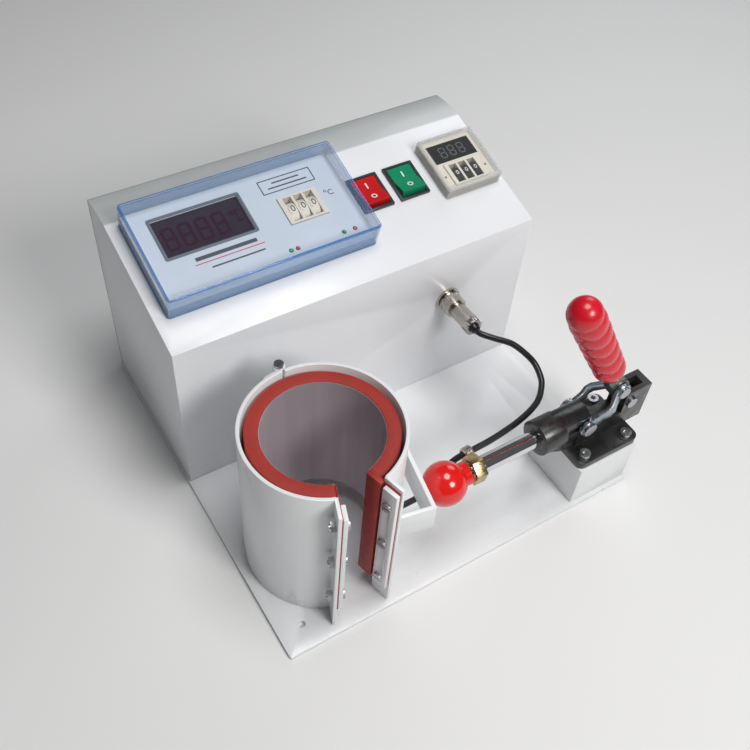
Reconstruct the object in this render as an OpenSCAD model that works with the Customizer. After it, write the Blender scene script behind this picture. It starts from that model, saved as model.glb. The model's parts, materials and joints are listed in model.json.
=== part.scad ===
// Bench-top mug heat press: a split heated sleeve closed by a push clamp,
// with a console behind it that carries the temperature controller and the timer.
// All sizes are in millimetres. X runs left to right, Y front to back, Z up.
// The origin is the centre of the underside of the base plate.

/* [Base plate] */
// Width of the base plate
base_w = 300; // [260:1:360]
// Depth of the base plate
base_d = 300; // [270:1:360]
// Thickness of the base plate
base_t = 3; // [2:0.5:5]
// Inset of the four mounting holes from the plate edges
hole_inset = 18; // [12:1:24]
// Diameter of the mounting holes
hole_d = 5.5; // [4:0.5:8]

/* [Console] */
// Depth of the console, from its front wall to the back edge
console_d = 138; // [125:1:160]
// Height of the console front wall
console_h = 142; // [125:1:170]
// Slope of the control panel in degrees
slope_a = 15.4; // [10:0.2:20]
// Sheet thickness of the console
sheet_t = 1.5; // [1:0.1:2]
// Height of the temperature controller bezel
bezel_n = 9; // [7:0.5:11]
// Height of the blue cover above the panel
cover_n = 22; // [20:1:27]
// Size of the square timer front
timer_w = 48; // [44:1:50]
// Length of the rocker switch frames
rocker_l = 31; // [29:0.5:34]

/* [Heated sleeve] */
// Outside diameter of the sleeve
sleeve_d = 108.6; // [95:0.2:125]
// Height of the sleeve
sleeve_h = 136; // [115:1:160]
// Wall thickness of the sleeve
shell_t = 2.4; // [2:0.1:3]
// Thickness of the heating mat
mat_t = 9.2; // [7:0.1:11]
// Height of the heating mat
mat_h = 112; // [95:1:125]
// Air gap between the mat and the sleeve
mat_gap = 2.4; // [1.5:0.1:3.5]
// Angle from the front centre line to the left flange
gap_left = 20; // [16:0.5:24]
// Angle from the front centre line to the right flange
gap_right = 15; // [12:0.5:20]
// Width of the clamping flanges
flange_l = 13; // [11:0.5:16]

/* [Push clamp] */
// Side length of the clamp pedestal
pedestal_w = 54; // [50:1:62]
// Height of the clamp pedestal
pedestal_h = 40; // [34:1:48]
// Height of the plunger axis above the pedestal
rod_h = 30; // [26:1:36]
// Diameter of the plunger rod
rod_d = 13; // [10:0.5:15]
// Diameter of the red ball tip
ball_d = 32; // [27:1:37]
// Length of the handle grip
grip_l = 108; // [90:1:128]
// Diameter of the handle grip
grip_d = 25; // [20:1:28]
// Backward lean of the handle at rest, from the vertical towards the sleeve
handle_lean = 31; // [26:1:36]

/* [Fits] */
// Radial clearance of turning and sliding fits
run_gap = 0.05; // [0.02:0.01:0.1]
// Clearance round the clamp's pins
pin_gap = 0.15; // [0.1:0.05:0.25]
// Radial clearance of screws in their holes
screw_gap = 0.1; // [0.05:0.05:0.2]
// Side clearance between flat moving faces
side_gap = 0.3; // [0.2:0.1:0.5]

/* [Hidden] */
$fn = 48;
e = 0.01;
bx = -base_w / 2;
by = -base_d / 2;
z0 = base_t;
// console
case_in = 1.5;
case_w = base_w - 2 * case_in;
wall_y = by + base_d - console_d;
slope_run = 0.77 * console_d;
top_z = console_h + slope_run * tan(slope_a);
rear_t = sheet_t;
panel_len = slope_run / cos(slope_a);
// controller on the sloped panel, in panel coordinates
ctrl_w = 160;
ctrl_h = 80;
cover_wall = 1.3;
ctrl_u = 10;
ctrl_s = panel_len - ctrl_h - 2.9;
ctrl_deep = 78;
wheel_t = 6;
rock_u1 = 176;
rock_u2 = 207.8;
rock_w = 25.4;
rock_s = panel_len - rocker_l - 27.4;
timer_u = case_w - timer_w - 6.4;
timer_s = panel_len - timer_w - 20.4;
timer_n = 7;
timer_deep = 62;
// heater socket on the front wall
sock_x = bx + 0.753 * base_w;
sock_z = z0 + 0.64 * console_h;
// sleeve
R = sleeve_d / 2;
sx = bx + R + 6.8;
sy = by + R + 14.8;
mat_ro = R - shell_t - mat_gap;
mat_ri = mat_ro - mat_t;
mat_z = z0 + 0.15 * sleeve_h;
a_left = 270 - gap_left;
a_right = 270 + gap_right;
pin_r = 2;
knuckle_r = 4.2;
hinge_y = sy + R + 4.5;
leaf_t = 2;
flange_end = R + flange_l;
strip_w = flange_l - 1.4;
strip_t = 3;
selv_t = 1;
mat_lip = 0.5;
// angles by which the arcs end short of, or run into, the flat flanges
end_turn = 1.2;
mat_turn = 0.5;
// how far the flanges stop short of the ends of the round walls
inset = 0.3;
// the covers sit this far off the sheet
seat = 0.04;
strip_sr = 2;
strip_zs = [mat_z + 0.09 * mat_h, mat_z + 0.48 * mat_h, mat_z + 0.86 * mat_h];
strip_r = R + 0.45 * flange_l;
foot_as = [115, 170, 225];
// clamp
pcx = bx + base_w - pedestal_w / 2 - 1;
pcy = by + 3 + pedestal_w / 2;
pz = z0 + pedestal_h;
ax_z = pz + rod_h;
rod_r = rod_d / 2;
ball_r = ball_d / 2;
bar_t = 3;
bar_h = 24;
// push bracket corner points around the sleeve centre
brk_a = [R * cos(-68), R * sin(-68)];
brk_b = [R - 1.7, -(R + 2.4)];
brk_c = [R + 8, -0.14 * R];
brk_d = [R * cos(9) - 2, R * sin(9)];
leg_len = norm(brk_c - brk_b);
leg_u = (brk_c - brk_b) / leg_len;
leg_n = [leg_u[1], -leg_u[0]];
ball_rel_y = pcy - sy;
ball_gap = 0.7;
ball_rel_x = brk_b[0] + ((ball_r + bar_t / 2 + ball_gap) - (ball_rel_y - brk_b[1]) * leg_n[1]) / leg_n[0];
ball_x = sx + ball_rel_x;
barrel_r = rod_r + 7;
barrel_x0 = pcx - 57;
barrel_x1 = pcx - 15;
plug_pin_x = pcx - 17;
piv_x = pcx + 28;
pin_q = [piv_x - 13, ax_z + 18];
link_dx = pin_q[0] - plug_pin_x;
link_dz = pin_q[1] - ax_z;
link_l = sqrt(link_dx * link_dx + link_dz * link_dz);
link_a = atan2(link_dz, link_dx);
root_t = 8;
link_t = 3;
eye_gap = 1.7;
shank_w = 12;
shank_t = 6.4;
grip_s = 26;
lug_w = 16;
// heater lead
lead_r = 2.4;
tail_y = wall_y - 39;
lead_end = [sx + (R + 1.5) * cos(-13), sy + (R + 1.5) * sin(-13), z0 + 16];
lead_in = [sx + (R - 4) * cos(-13), sy + (R - 4) * sin(-13), z0 + 16];
lead_pts = [
    [sock_x, tail_y + 4, sock_z],
    [sock_x + 0.5, tail_y - 4, sock_z],
    [sock_x + 8, wall_y - 52, sock_z - 1],
    [sock_x + 19, wall_y - 62, sock_z - 4],
    [pcx - 18, wall_y - 76, ax_z + 8],
    [pcx - 19, wall_y - 88, ax_z + 4],
    [pcx - 23, wall_y - 96, ax_z + 1],
    [pcx - 34, pcy + 27, ax_z - 2],
    [pcx - 54, pcy + 21, ax_z - 4],
    [pcx - 80, pcy + 17.5, ax_z - 5],
    [pcx - 100, pcy + 16.5, ax_z - 5],
    [ball_x + 29, pcy + 16.5, ax_z - 5],
    [ball_x + 20, pcy + 18, ax_z - 11],
    [ball_x + 12, pcy + 20, ax_z - 28],
    [ball_x + 3, pcy + 23, z0 + 24],
    lead_end,
    lead_in
];
lead_sub = 3;
lead_sides = 10;

// Catmull-Rom point on the lead route
function cr(p0, p1, p2, p3, t) =
    0.5 * (2 * p1 + (p2 - p0) * t + (2 * p0 - 5 * p1 + 4 * p2 - p3) * t * t
    + (3 * p1 - p0 - 3 * p2 + p3) * t * t * t);
function at(v, i) = v[max(0, min(len(v) - 1, i))];
function curve(v, n) = concat(
    [for (i = [0:len(v) - 2]) for (j = [0:n - 1]) cr(at(v, i - 1), v[i], v[i + 1], at(v, i + 2), j / n)],
    [v[len(v) - 1]]);
function unit(v) = v / norm(v);
function tang(v, i) = unit(at(v, i + 1) - at(v, i - 1));
// frame carried along the route without twist
function carry(n, t) = unit(n - (n * t) * t);
function frames(v, i, n) = i >= len(v) ? [] :
    let (t = tang(v, i), m = carry(n, t)) concat([[t, m, cross(t, m)]], frames(v, i + 1, m));

module tube(v, r, sides) {
    f = frames(v, 0, [1, 0, 0.2]);
    c = len(v);
    pts = [for (i = [0:c - 1]) for (k = [0:sides - 1])
        v[i] + r * (cos(360 * k / sides) * f[i][1] + sin(360 * k / sides) * f[i][2])];
    quads = [for (i = [0:c - 2]) for (k = [0:sides - 1])
        [i * sides + k, (i + 1) * sides + k, (i + 1) * sides + (k + 1) % sides, i * sides + (k + 1) % sides]];
    a_end = [for (k = [0:sides - 1]) k];
    b_end = [for (k = [sides - 1:-1:0]) (c - 1) * sides + k];
    polyhedron(points = pts, faces = concat([a_end], quads, [b_end]), convexity = 6);
}

// ---------- shared shapes ----------
module plate(w, d, t, r) {
    translate([r, 0, 0]) cube([w - 2 * r, d, t]);
    translate([0, r, 0]) cube([w, d - 2 * r, t]);
    for (x = [r, w - r])
        for (y = [r, d - r])
            translate([x, y, 0]) cylinder(h = t, r = r);
}

module flat_screw(len_t, r) {
    rotate_extrude() polygon([[0, 0], [r + 1.7, 0], [r, 1.8], [r, len_t], [0, len_t]]);
}

module flat_hole(r) {
    g = screw_gap;
    rotate_extrude()
        polygon([[0, -1], [r + 1.7 + g, -1], [r + 1.7 + g, 0], [r + g, 1.8 + g],
            [r + g, base_t + 1], [0, base_t + 1]]);
}

module slot_screw(r, len_t, head_r, head_t) {
    difference() {
        union() {
            cylinder(h = len_t + e, r = r);
            translate([0, 0, len_t]) cylinder(h = head_t, r = head_r);
        }
        translate([-head_r - 1, -0.5, len_t + head_t * 0.45]) cube([2 * head_r + 2, 1, head_t]);
    }
}

module nut(af, t, r) {
    difference() {
        cylinder(h = t, r = af / sqrt(3), $fn = 6);
        translate([0, 0, -1]) cylinder(h = t + 2, r = r + run_gap);
    }
}

// a flat bar that follows plan points, standing on edge, with mitred corners
function side_dir(p, i) = let (d = unit(p[i + 1] - p[i])) [-d[1], d[0]];
function mitre(p, i) = i == 0 ? side_dir(p, 0) : i == len(p) - 1 ? side_dir(p, i - 1) :
    let (a = side_dir(p, i - 1), b = side_dir(p, i)) (a + b) / (1 + a * b);

module bar(p, t, h) {
    n = len(p) - 1;
    linear_extrude(height = h)
        polygon(concat([for (i = [0:n]) p[i] + mitre(p, i) * t / 2],
            [for (i = [n:-1:0]) p[i] - mitre(p, i) * t / 2]));
}

// part of a ring around the sleeve centre
module ring_arc(a0, a1, ri, ro, z, h) {
    translate([sx, sy, z]) rotate([0, 0, a0]) rotate_extrude(angle = a1 - a0, $fn = 96)
        polygon([[ri, 0], [ro, 0], [ro, h], [ri, h]]);
}

module on_panel(u, s, n) {
    translate([bx + case_in, wall_y, z0 + console_h])
        rotate([slope_a, 0, 0]) translate([u, s, n]) children();
}

module at_sleeve(a) {
    translate([sx, sy, 0]) rotate([0, 0, a]) children();
}

module along_y(x, y, z) {
    translate([x, y, z]) rotate([-90, 0, 0]) children();
}

module along_x(x, y, z) {
    translate([x, y, z]) rotate([0, 90, 0]) children();
}

// ---------- base ----------
console_screws = [[30, 12], [case_w - 30, 12], [30, console_d - 40], [case_w - 30, console_d - 40]];
pedestal_screws = [[-1, -1], [1, -1], [-1, 1], [1, 1]];

module base_plate() {
    color("WhiteSmoke") difference() {
        translate([bx, by, 0]) plate(base_w, base_d, base_t, 1.5);
        for (x = [-1, 1])
            for (y = [-1, 1])
                translate([x * (base_w / 2 - hole_inset), y * (base_d / 2 - hole_inset), -1])
                    cylinder(h = base_t + 2, d = hole_d);
        for (a = foot_as)
            at_sleeve(a) translate([mat_ri + 6, 0, 0]) flat_hole(2);
        for (p = console_screws)
            translate([bx + case_in + p[0], wall_y + p[1], 0]) flat_hole(2);
        for (p = pedestal_screws)
            translate([pcx + p[0] * 14, pcy + p[1] * (pedestal_w / 2 - 8), 0]) flat_hole(2);
    }
}

module base_screws() {
    color("Silver") {
        for (a = foot_as)
            at_sleeve(a) translate([mat_ri + 6, 0, 0]) flat_screw(base_t + 4, 2);
        for (p = console_screws)
            translate([bx + case_in + p[0], wall_y + p[1], 0]) flat_screw(base_t + 3, 2);
        for (p = pedestal_screws)
            translate([pcx + p[0] * 14, pcy + p[1] * (pedestal_w / 2 - 8), 0]) flat_screw(base_t + 4, 2);
    }
}

// ---------- console ----------
function prof(i, b) = [
    [i, b ? -1 : 0],
    [i, console_h + i * tan(slope_a) - i / cos(slope_a)],
    [slope_run, top_z - i / cos(slope_a)],
    [slope_run + 8, top_z + 1.3 - i],
    [slope_run + 17, top_z + 1.7 - i],
    [console_d + (b ? 1 : 0), top_z + 0.4 - i],
    [console_d + (b ? 1 : 0), b ? -1 : 0]
];

module case_block(x0, w, i, b) {
    translate([x0, wall_y, z0])
        rotate([90, 0, 90]) linear_extrude(height = w) polygon(prof(i, b));
}

module console_case() {
    color("WhiteSmoke") difference() {
        union() {
            difference() {
                case_block(bx + case_in, case_w, 0, false);
                case_block(bx + case_in + sheet_t, case_w - 2 * sheet_t, sheet_t, true);
                translate([bx, wall_y + console_d - rear_t, z0 - 1]) cube([base_w, 5, top_z + 10]);
            }
            for (i = [0:3])
                translate([bx + case_in + (i == 2 ? sheet_t - e : console_screws[i][0] - 8),
                    wall_y + (i < 2 ? sheet_t - e : console_screws[i][1] - 7), z0])
                    cube([i < 2 ? 16 : 38 - sheet_t + e, i < 2 ? 18 : 14, 1.5]);
            for (x = [bx + case_in + sheet_t - e, bx + case_in + case_w - sheet_t - 10 + e])
                translate([x, wall_y + console_d - 2 * rear_t, z0]) cube([10, rear_t, top_z - 4]);
        }
        for (p = console_screws)
            translate([bx + case_in + p[0], wall_y + p[1], z0 - 1]) cylinder(h = 4, r = 2 + screw_gap);
        for (x = [-1, 1])
            for (z = rear_zs)
                along_y(x * (case_w / 2 - sheet_t - 5), wall_y + console_d - 5, z0 + z)
                    cylinder(h = 6, r = 1.5 + screw_gap);
        on_panel(ctrl_u + 3.5, ctrl_s + 1.5, -5) cube([ctrl_w - 7, ctrl_h - 3, 10]);
        for (u = [rock_u1, rock_u2])
            on_panel(u + 0.8, rock_s + 0.8, -5) cube([rock_w - 1.6, rocker_l - 1.6, 10]);
        on_panel(timer_u + 1.5, timer_s + 1.5, -5) cube([timer_w - 3, timer_w - 3, 10]);
        along_y(sock_x, wall_y - 1, sock_z) cylinder(h = 5, r = 8);
    }
}

rear_zs = [0.12 * console_h, 0.55 * console_h, 1.05 * console_h];
inlet_x = bx + 0.76 * base_w;
inlet_z = z0 + 36;

module rear_panel() {
    color("WhiteSmoke") difference() {
        translate([bx + case_in, wall_y + console_d - rear_t, z0 + 0.3])
            cube([case_w, rear_t, top_z - 0.2]);
        for (x = [-1, 1])
            for (z = rear_zs)
                along_y(x * (case_w / 2 - sheet_t - 5), wall_y + console_d - 5, z0 + z)
                    cylinder(h = 6, r = 1.5 + screw_gap);
        for (i = [0:11])
            translate([bx + 55 + i * 9, wall_y + console_d - 3, z0 + 0.58 * console_h]) cube([3.5, 5, 38]);
        translate([inlet_x - 14.2, wall_y + console_d - 3, inlet_z - 10.2]) cube([28.4, 5, 20.4]);
    }
}

module rear_screws() {
    color("Silver")
        for (x = [-1, 1])
            for (z = rear_zs)
                along_y(x * (case_w / 2 - sheet_t - 5), wall_y + console_d - 5, z0 + z)
                    slot_screw(1.5, 5, 2.8, 1.8);
}

module power_inlet() {
    color("DimGray") {
        difference() {
            union() {
                translate([inlet_x - 16, wall_y + console_d, inlet_z - 12]) cube([32, 2.5, 24]);
                translate([inlet_x - 14, wall_y + console_d - 24, inlet_z - 10]) cube([28, 24 + e, 20]);
            }
            translate([inlet_x - 12, wall_y + console_d - 16, inlet_z - 8]) cube([24, 30, 16]);
        }
        for (i = [-1:1])
            translate([inlet_x + i * 7 - 1, wall_y + console_d - 16 - e, inlet_z + (i == 0 ? 1 : -4)])
                cube([2, 13, 4]);
    }
}

// ---------- temperature controller ----------
wheel_us = [0, 1, 2];
set_u = 106.5;
set_s = 30.4;
set_w = 30.6;
set_h = 24;
wheel_pitch = 8.4;

module seven(w, h, t, d, segs) {
    g = 0.25;
    if (segs[0]) translate([t, h - t, 0]) cube([w - 2 * t, t, d]);
    if (segs[1]) translate([w - t, h / 2 + g, 0]) cube([t, h / 2 - g - t / 2, d]);
    if (segs[2]) translate([w - t, t / 2, 0]) cube([t, h / 2 - g - t / 2, d]);
    if (segs[3]) translate([t, 0, 0]) cube([w - 2 * t, t, d]);
    if (segs[4]) translate([0, t / 2, 0]) cube([t, h / 2 - g - t / 2, d]);
    if (segs[5]) translate([0, h / 2 + g, 0]) cube([t, h / 2 - g - t / 2, d]);
    if (segs[6]) translate([t + 0.1, h / 2 - t / 2, 0]) cube([w - 2 * t - 0.2, t, d]);
}

module controller_case() {
    color("Gainsboro") difference() {
        union() {
            on_panel(ctrl_u, ctrl_s, 0) cube([ctrl_w, ctrl_h, bezel_n]);
            on_panel(ctrl_u + 4, ctrl_s + 2, -ctrl_deep) cube([ctrl_w - 8, ctrl_h - 4, ctrl_deep + e]);
        }
        on_panel(ctrl_u + 6, ctrl_s + 4, 2 - ctrl_deep)
            cube([ctrl_w - 12, ctrl_h - 8, ctrl_deep + bezel_n - 6.5]);
        on_panel(ctrl_u + 16.5, ctrl_s + 37, bezel_n - 3.2) cube([65, 31, 5]);
        on_panel(ctrl_u + set_u, ctrl_s + set_s, -2) cube([set_w, set_h, bezel_n + 5]);
        for (p = lamp_us)
            on_panel(ctrl_u + p[0], ctrl_s + p[1], bezel_n - 5) cylinder(h = 8, r = 1.6);
    }
}

lamp_us = [[96.5, 11.7], [101.8, 11.7], [139, 11.7], [148, 11.7]];

module display_digits() {
    color("Crimson") for (i = [0:3])
        on_panel(ctrl_u + 20.5 + i * 12.5, ctrl_s + 43, bezel_n - 3.2)
            seven(9, 19, 1.7, 0.8, [1, 1, 1, 1, 1, 1, 1]);
    color("Crimson") on_panel(ctrl_u + 71.5, ctrl_s + 56, bezel_n - 3.2) difference() {
        cube([3, 3, 0.8]);
        translate([0.8, 0.8, -1]) cube([1.4, 1.4, 3]);
    }
    color("Crimson") on_panel(ctrl_u + 75.3, ctrl_s + 49, bezel_n - 3.2)
        seven(4.4, 10, 1, 0.8, [1, 0, 0, 1, 1, 1, 0]);
}

module display_window() {
    color([0.45, 0.05, 0.08, 0.5]) on_panel(ctrl_u + 16.6, ctrl_s + 37.1, bezel_n - 1.8)
        cube([64.8, 30.8, 1.3]);
}

module lamp(i) {
    on_panel(ctrl_u + lamp_us[i][0], ctrl_s + lamp_us[i][1], bezel_n - 4) cylinder(h = 4, r = 1.5);
    on_panel(ctrl_u + lamp_us[i][0], ctrl_s + lamp_us[i][1], bezel_n) sphere(r = 1.5);
}

module lamps_green() {
    color("LimeGreen") {
        lamp(0);
        lamp(2);
    }
}

module lamps_red() {
    color("Tomato") {
        lamp(1);
        lamp(3);
    }
}

function wheel_r(h) = h / 2 - 2.3;
function wheel_x(w, i) = w / 2 + (i - 1) * wheel_pitch;

// frame and wheels of a digit setting switch, in its own corner frame
module set_frame(w, h, n) {
    r = wheel_r(h);
    difference() {
        translate([0, 0, n - 2 * r - 1]) cube([w, h, 2 * r + 1]);
        for (i = wheel_us)
            translate([wheel_x(w, i) - wheel_t / 2 - side_gap, 1.6, n - 2 * r - 2])
                cube([wheel_t + 2 * side_gap, h - 3.2, 2 * r + 3]);
    }
    translate([0.8, h / 2, n - r]) rotate([0, 90, 0]) cylinder(h = w - 1.6, r = 1.5);
}

module set_wheel(w, h, n, i) {
    r = wheel_r(h);
    translate([wheel_x(w, i) - wheel_t / 2, h / 2, n - r]) rotate([0, 90, 0]) difference() {
        cylinder(h = wheel_t, r = r);
        translate([0, 0, -1]) cylinder(h = wheel_t + 2, r = 1.5 + run_gap);
        for (k = [0:9])
            rotate([0, 0, k * 36 + 18]) translate([r, 0, -1]) cylinder(h = 2.2, r = 0.8, $fn = 16);
    }
}

module at_set() {
    on_panel(ctrl_u + set_u + 0.1, ctrl_s + set_s + 0.1, 0) children();
}

module setting_frame() {
    color("Wheat") at_set() set_frame(set_w - 0.2, set_h - 0.2, bezel_n + 1.5);
}

module setting_wheel(i) {
    color("Wheat") at_set() set_wheel(set_w - 0.2, set_h - 0.2, bezel_n + 1.5, i);
}

module blue_cover() {
    g = cover_wall + side_gap / 2;
    color([0.25, 0.45, 0.85, 0.4]) on_panel(ctrl_u - g, ctrl_s - g, seat) difference() {
        cube([ctrl_w + 2 * g, ctrl_h + 2 * g, cover_n - seat]);
        translate([cover_wall, cover_wall, -1])
            cube([ctrl_w + side_gap, ctrl_h + side_gap, cover_n - seat + 1 - cover_wall]);
    }
}

// ---------- rocker switches ----------
rock_p = 1.2;
rock_half = rocker_l / 2 - 3.2;
rock_tilt = 9;

module switch_frame(u) {
    on_panel(u, rock_s, 0) difference() {
        union() {
            cube([rock_w, rocker_l, 2.4]);
            translate([1, 1, -20]) cube([rock_w - 2, rocker_l - 2, 20 + e]);
        }
        translate([2.4, rocker_l / 2 - rock_half * 1.06 - 0.5, -7.5])
            cube([rock_w - 4.8, 2 * rock_half * 1.06 + 1, 20]);
        translate([3, 3, -18.5]) cube([rock_w - 6, rocker_l - 6, 20]);
        translate([1.5, rocker_l / 2, rock_p - 2.4]) rotate([0, 90, 0])
            cylinder(h = rock_w - 3, r = 1.2 + run_gap);
    }
}

module rocker(u) {
    a = rock_half * tan(rock_tilt);
    on_panel(u, rock_s, 0) translate([2.7, rocker_l / 2, rock_p - 2.4]) rotate([-rock_tilt, 0, 0]) {
        rotate([90, 0, 90]) linear_extrude(height = rock_w - 5.4)
            polygon([[-rock_half, -2.6], [rock_half, -2.6], [rock_half, 3.6 + a], [0, 3.6],
                [-rock_half, 3.6 + a]]);
        translate([-0.9, 0, 0]) rotate([0, 90, 0]) cylinder(h = rock_w - 3.6, r = 1.2);
    }
}

module red_switch_frame() {
    color("DimGray") switch_frame(rock_u1);
}

module red_rocker() {
    color("Red") rocker(rock_u1);
}

module green_switch_frame() {
    color("DimGray") switch_frame(rock_u2);
}

module green_rocker() {
    color("LimeGreen") rocker(rock_u2);
}

// ---------- timer ----------
tset_w = 30;
tset_h = 20;

wheel_depth = 2 * wheel_r(tset_h) + 2;

module timer_housing() {
    color("DimGray") on_panel(timer_u + 2, timer_s + 2, -timer_deep) difference() {
        cube([timer_w - 4, timer_w - 4, timer_deep]);
        translate([2, 2, 2]) cube([timer_w - 8, timer_w - 8, timer_deep]);
        translate([(timer_w - tset_w) / 2 - 2 - side_gap, -1, timer_deep - wheel_depth])
            cube([tset_w + 2 * side_gap, 6, wheel_depth + 1]);
    }
}

module timer_face() {
    color("Wheat") {
        on_panel(timer_u, timer_s, 0) difference() {
            cube([timer_w, timer_w, timer_n]);
            translate([4, 4, -1]) cube([timer_w - 8, timer_w - 8, timer_n - 2.5]);
            translate([4.5, timer_w - 22, timer_n - 2.5]) cube([timer_w - 9, 17.5, 5]);
            translate([(timer_w - tset_w) / 2 + 0.5, 4, -2]) cube([tset_w - 1, tset_h - 1, timer_n + 5]);
        }
        at_tset() set_frame(tset_w, tset_h, timer_n + 1.5);
    }
}

module timer_window() {
    color([0.1, 0.1, 0.12, 0.9]) on_panel(timer_u + 4.6, timer_s + timer_w - 21.9, timer_n - 1.4)
        cube([timer_w - 9.2, 17.3, 1.3]);
}

module at_tset() {
    on_panel(timer_u + (timer_w - tset_w) / 2, timer_s + 3.5, 0) children();
}

module timer_wheel(i) {
    color("DimGray") at_tset() set_wheel(tset_w, tset_h, timer_n + 1.5, i);
}

module timer_cover() {
    g = 1 + side_gap / 2;
    color([0.9, 0.95, 1, 0.3]) on_panel(timer_u - g, timer_s - g, seat) difference() {
        cube([timer_w + 2 * g, timer_w + 2 * g, 12 - seat]);
        translate([1, 1, -1]) cube([timer_w + side_gap, timer_w + side_gap, 12 - seat]);
    }
}

// ---------- parts inside the console ----------
module relay() {
    translate([bx + 70, wall_y + 50, z0]) {
        color("Silver") cube([45, 62, 4]);
        color("DimGray") translate([2, 4, 4]) cube([41, 54, 20]);
    }
}

// ---------- heater socket, plug and lead ----------
module heater_socket() {
    color("Silver") {
        along_y(sock_x, wall_y - 2, sock_z) cylinder(h = 2, r = 10.5);
        along_y(sock_x, wall_y - e, sock_z) cylinder(h = 14, r = 7.9);
        along_y(sock_x, wall_y - 9, sock_z) difference() {
            cylinder(h = 7 + e, r = 6.6);
            translate([0, 0, -1]) cylinder(h = 7, r = 5);
        }
        along_y(sock_x, wall_y + sheet_t, sock_z) difference() {
            cylinder(h = 3, r = 19 / sqrt(3), $fn = 6);
            translate([0, 0, -1]) cylinder(h = 5, r = 7);
        }
    }
}

module plug_ring() {
    color("Silver") along_y(sock_x, wall_y - 13, sock_z) difference() {
        cylinder(h = 10.6, r = 8.8);
        translate([0, 0, 2]) cylinder(h = 10, r = 6.7);
        translate([0, 0, -1]) cylinder(h = 4, r = 5.6);
        for (k = [0:11])
            rotate([0, 0, k * 30]) translate([8.8, 0, 2.6]) cylinder(h = 6, r = 0.8, $fn = 12);
    }
}

module plug_body() {
    color("Gainsboro") {
        along_y(sock_x, wall_y - 29, sock_z) cylinder(h = 15.9, r = 6.8);
        along_y(sock_x, wall_y - 13.2, sock_z) cylinder(h = 3, r = 5.4);
        along_y(sock_x, wall_y - 10.9, sock_z) cylinder(h = 1.7, r = 6.4);
        along_y(sock_x, wall_y - 9.3, sock_z) cylinder(h = 6, r = 4.9);
        difference() {
            along_y(sock_x, wall_y - 36, sock_z) cylinder(h = 7 + e, r = 7.4);
            for (k = [0:7])
                along_y(sock_x, wall_y - 37, sock_z) rotate([0, 0, k * 45]) translate([7.6, 0, 0])
                    cylinder(h = 5.5, r = 0.9, $fn = 12);
            along_y(sock_x, wall_y - 37, sock_z) cylinder(h = 6, r = 4.6);
        }
    }
}

module plug_tail() {
    color("DimGray") along_y(sock_x, tail_y, sock_z) difference() {
        rotate_extrude() polygon([[0, 0], [3.6, 0], [4.5, 3.2], [4.5, 7.8], [0, 7.8]]);
        translate([0, 0, -1]) cylinder(h = 6, r = lead_r + 0.3);
    }
}

module heater_lead() {
    color("DimGray") tube(curve(lead_pts, lead_sub), lead_r, lead_sides);
}

module lead_ferrule() {
    color("Silver") translate([ball_x + 27.5, pcy + 16.5, ax_z - 5]) rotate([0, 90, 4]) difference() {
        rotate_extrude() polygon([[0, 0], [3.4, 0], [4.6, 1.2], [4.6, 6.8], [3.4, 8], [0, 8]]);
        translate([0, 0, -1]) cylinder(h = 10, r = lead_r + 0.5);
    }
}

module lead_grommet() {
    color("DimGray") at_sleeve(-13) translate([R, 0, z0 + 16]) rotate([0, 90, 0]) difference() {
        union() {
            translate([0, 0, 0.05]) cylinder(h = 2.2, r = 6);
            translate([0, 0, -shell_t - 0.4]) cylinder(h = shell_t + 0.5, r = 4.4);
        }
        translate([0, 0, -6]) cylinder(h = 12, r = lead_r + 0.8);
    }
}

// ---------- heated sleeve ----------
knuckles = 5;
kn_h = (sleeve_h - 2) / knuckles;

module shell_arc(a0, a1, zb) {
    ring_arc(a0, a1, R - shell_t, R, zb, z0 + sleeve_h - zb);
}

module knuckle_set(k0, side) {
    for (k = [k0:2:knuckles - 1]) {
        zb = z0 + 1 + k * kn_h + 0.25;
        hh = kn_h - 0.5;
        translate([sx, hinge_y, zb]) cylinder(h = hh, r = knuckle_r);
        difference() {
            intersection() {
                translate([sx, sy, zb]) cylinder(h = hh, r = R + leaf_t);
                translate([sx + (side > 0 ? 1.5 : -13.5), sy + R / 2, zb]) cube([12, R, hh]);
            }
            translate([sx, sy, zb - 1]) cylinder(h = hh + 2, r = R - shell_t / 2);
        }
    }
}

module flange_plate(a, side, zb) {
    at_sleeve(a) translate([R - shell_t + 0.3, side > 0 ? 0 : -shell_t, zb + inset])
        cube([flange_l + shell_t - 0.3, shell_t, z0 + sleeve_h - zb - 2 * inset]);
}

module flange_holes(a) {
    for (z = strip_zs)
        at_sleeve(a) translate([strip_r, -15, z]) rotate([-90, 0, 0])
            cylinder(h = 30, r = strip_sr + screw_gap);
}

module fixed_sleeve() {
    color("WhiteSmoke") difference() {
        union() {
            shell_arc(91.1, a_left - end_turn, z0 + inset);
            flange_plate(a_left, -1, z0 + inset);
            knuckle_set(0, -1);
            for (a = foot_as)
                at_sleeve(a) intersection() {
                    translate([mat_ri, -8, z0]) cube([R - mat_ri - shell_t + 1, 16, 2.5]);
                    translate([0, 0, z0]) cylinder(h = 3, r = R - 0.2);
                }
        }
        flange_holes(a_left);
        translate([sx, hinge_y, 0]) cylinder(h = 2 * sleeve_h, r = pin_r + run_gap);
        for (a = foot_as)
            at_sleeve(a) translate([mat_ri + 6, 0, z0 - 1]) cylinder(h = 5, r = 2 + screw_gap);
    }
}

module moving_sleeve() {
    color("WhiteSmoke") difference() {
        union() {
            shell_arc(a_right - 360 + end_turn, 88.9, z0 + 1);
            flange_plate(a_right, 1, z0 + 1);
            knuckle_set(1, 1);
        }
        flange_holes(a_right);
        translate([sx, hinge_y, 0]) cylinder(h = 2 * sleeve_h, r = pin_r + run_gap);
        at_sleeve(-13) translate([R - 10, 0, z0 + 16]) rotate([0, 90, 0]) cylinder(h = 20, r = 4.5);
    }
}

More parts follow.
